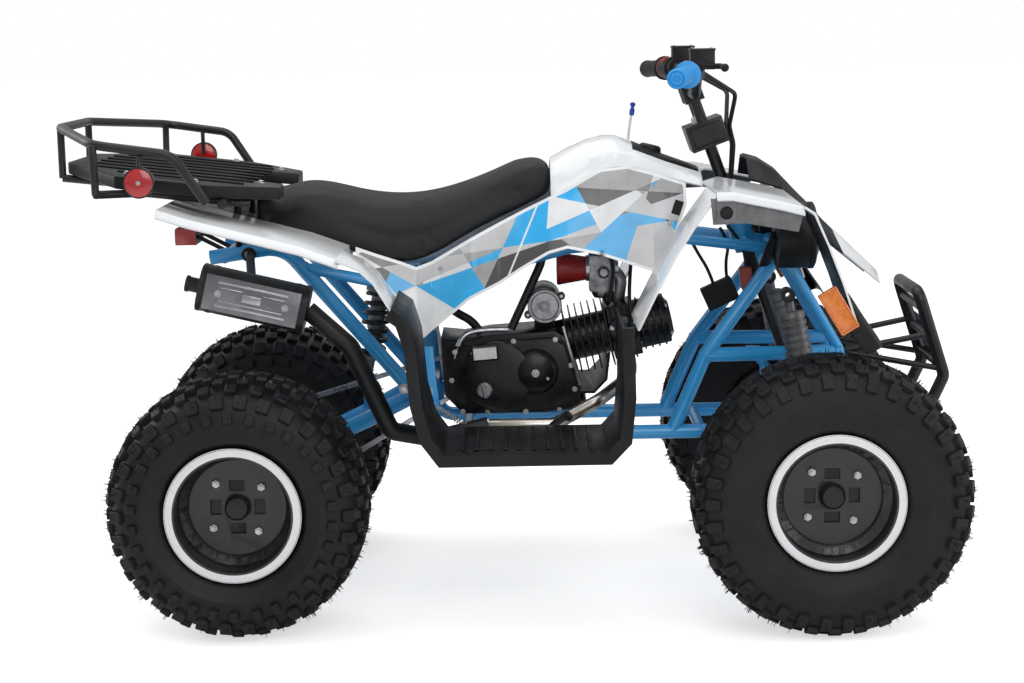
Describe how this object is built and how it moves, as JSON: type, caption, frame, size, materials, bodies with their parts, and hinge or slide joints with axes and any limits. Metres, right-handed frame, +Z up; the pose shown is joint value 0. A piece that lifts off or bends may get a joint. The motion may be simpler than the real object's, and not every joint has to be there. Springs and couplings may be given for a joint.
{
  "type": "youth sport quad bike",
  "caption": "Youth sport quad bike with steered front wheels on double wishbones, live rear axle, rear rack and open single-cylinder engine.",
  "frame": {"origin": "on the ground, in the middle of the overall length and width", "axes": "+X forward, +Y to the rider's left, +Z up"},
  "size_m": [1.5988, 0.894, 0.9904],
  "materials": {
    "frame_blue": "satin blue powder coat",
    "body_white": "glossy white moulded plastic",
    "body_graphic": "glossy plastic with blue, grey and white facets",
    "body_black": "matt black moulded plastic",
    "seat_vinyl": "black grained vinyl over foam",
    "tyre_rubber": "black tyre rubber",
    "rim_black": "gloss black enamel with a white lip",
    "hub_black": "satin black",
    "steel_bright": "bare steel",
    "engine_black": "satin black cast alloy",
    "carb_alloy": "cast alloy",
    "filter_red": "red oiled gauze",
    "header_chrome": "bright plated steel",
    "exhaust_black": "heat-proof black paint",
    "shield_brushed": "brushed steel",
    "rack_black": "gloss black powder coat",
    "plate_silver": "pale metal plate",
    "lens_red": "red prism lens",
    "lens_amber": "amber prism lens",
    "lamp_black": "black lamp bucket with clear lens",
    "grip_blue": "blue and black rubber",
    "control_black": "black plastic and alloy",
    "cable_black": "black sheath",
    "shock_grey": "grey ribbed sleeve over a black spring"
  },
  "bodies": {
    "chassis": {"air_filter": "filter_red", "brake_pedal": "steel_bright", "bumper_plate": "plate_silver", "carburettor": "carb_alloy", "drive_chain": "steel_bright", "engine_case": "engine_black", "engine_cylinder": "engine_black", "engine_head": "engine_black", "exhaust_header": "header_chrome", "exhaust_pipe": "exhaust_black", "foot_guards": "body_black", "frame_front": "frame_blue", "frame_lower": "frame_blue", "frame_rear": "frame_blue", "frame_upper": "frame_blue", "front_bumper": "rack_black", "front_cowl": "body_black", "front_fender": "body_white", "front_shocks": "shock_grey", "headlamps": "lamp_black", "lower_arms": "frame_blue", "rack_deck": "body_black", "rack_rail": "rack_black", "rack_reflectors": "lens_red", "rear_caliper": "hub_black", "rear_fender": "body_white", "rear_shock": "shock_grey", "seat": "seat_vinyl", "side_panels": "body_graphic", "side_reflectors": "lens_amber", "silencer": "exhaust_black", "silencer_shield": "shield_brushed", "starter_motor": "engine_black", "swing_arm": "frame_blue", "tail_lamp": "lens_red", "tank_cover": "body_white", "upper_arms": "frame_blue"},
    "steering": {"steering_shaft": "rack_black", "handlebar": "rack_black", "grips": "grip_blue", "bar_controls": "control_black", "control_cables": "cable_black"},
    "tie_rod_left": {"tie_rod_left": "rack_black"},
    "knuckle_left": {"knuckle_left": "hub_black"},
    "front_wheel_left": {"front_tyre_left": "tyre_rubber", "front_rim_left": "rim_black", "front_hub_left": "hub_black"},
    "tie_rod_right": {"tie_rod_right": "rack_black"},
    "knuckle_right": {"knuckle_right": "hub_black"},
    "front_wheel_right": {"front_tyre_right": "tyre_rubber", "front_rim_right": "rim_black", "front_hub_right": "hub_black"},
    "rear_axle": {"rear_axle": "hub_black", "rear_brake_disc": "steel_bright", "rear_rim_left": "rim_black", "rear_rim_right": "rim_black", "rear_sprocket": "steel_bright", "rear_tyre_left": "tyre_rubber", "rear_tyre_right": "tyre_rubber"}
  },
  "joints": [
    {"name": "steering_turn", "type": "hinge", "parent": "chassis", "child": "steering", "pos_m": [0.3695, 0, 0.824], "axis": [-0.3355, 0, 0.9421], "range_deg": [-36, 36]},
    {"name": "kingpin_left", "type": "hinge", "parent": "chassis", "child": "knuckle_left", "pos_m": [0.5435, 0.242, 0.239], "axis": [0, 0, 1], "range_deg": [-31, 31]},
    {"name": "tie_rod_pin_left", "type": "hinge", "parent": "steering", "child": "tie_rod_left", "pos_m": [0.49964, 0, 0.33927], "axis": [-0.3355, 0, 0.9421], "range_deg": [-37, 37]},
    {"name": "front_wheel_spin_left", "type": "hinge", "parent": "knuckle_left", "child": "front_wheel_left", "pos_m": [0.5435, 0.358, 0.239], "axis": [0, 1, 0], "continuous": true},
    {"name": "kingpin_right", "type": "hinge", "parent": "chassis", "child": "knuckle_right", "pos_m": [0.5435, -0.242, 0.239], "axis": [0, 0, 1], "range_deg": [-31, 31]},
    {"name": "tie_rod_pin_right", "type": "hinge", "parent": "steering", "child": "tie_rod_right", "pos_m": [0.49964, 0, 0.33927], "axis": [-0.3355, 0, 0.9421], "range_deg": [-37, 37]},
    {"name": "front_wheel_spin_right", "type": "hinge", "parent": "knuckle_right", "child": "front_wheel_right", "pos_m": [0.5435, -0.358, 0.239], "axis": [0, 1, 0], "continuous": true},
    {"name": "rear_axle_spin", "type": "hinge", "parent": "chassis", "child": "rear_axle", "pos_m": [-0.4735, 0, 0.226], "axis": [0, 1, 0], "continuous": true}
  ],
  "couplings": [
    {"joint": "kingpin_left", "follows": "steering_turn", "ratio": 0.85},
    {"joint": "tie_rod_pin_left", "follows": "steering_turn", "ratio": -1},
    {"joint": "kingpin_right", "follows": "steering_turn", "ratio": 0.85},
    {"joint": "tie_rod_pin_right", "follows": "steering_turn", "ratio": -1}
  ]
}
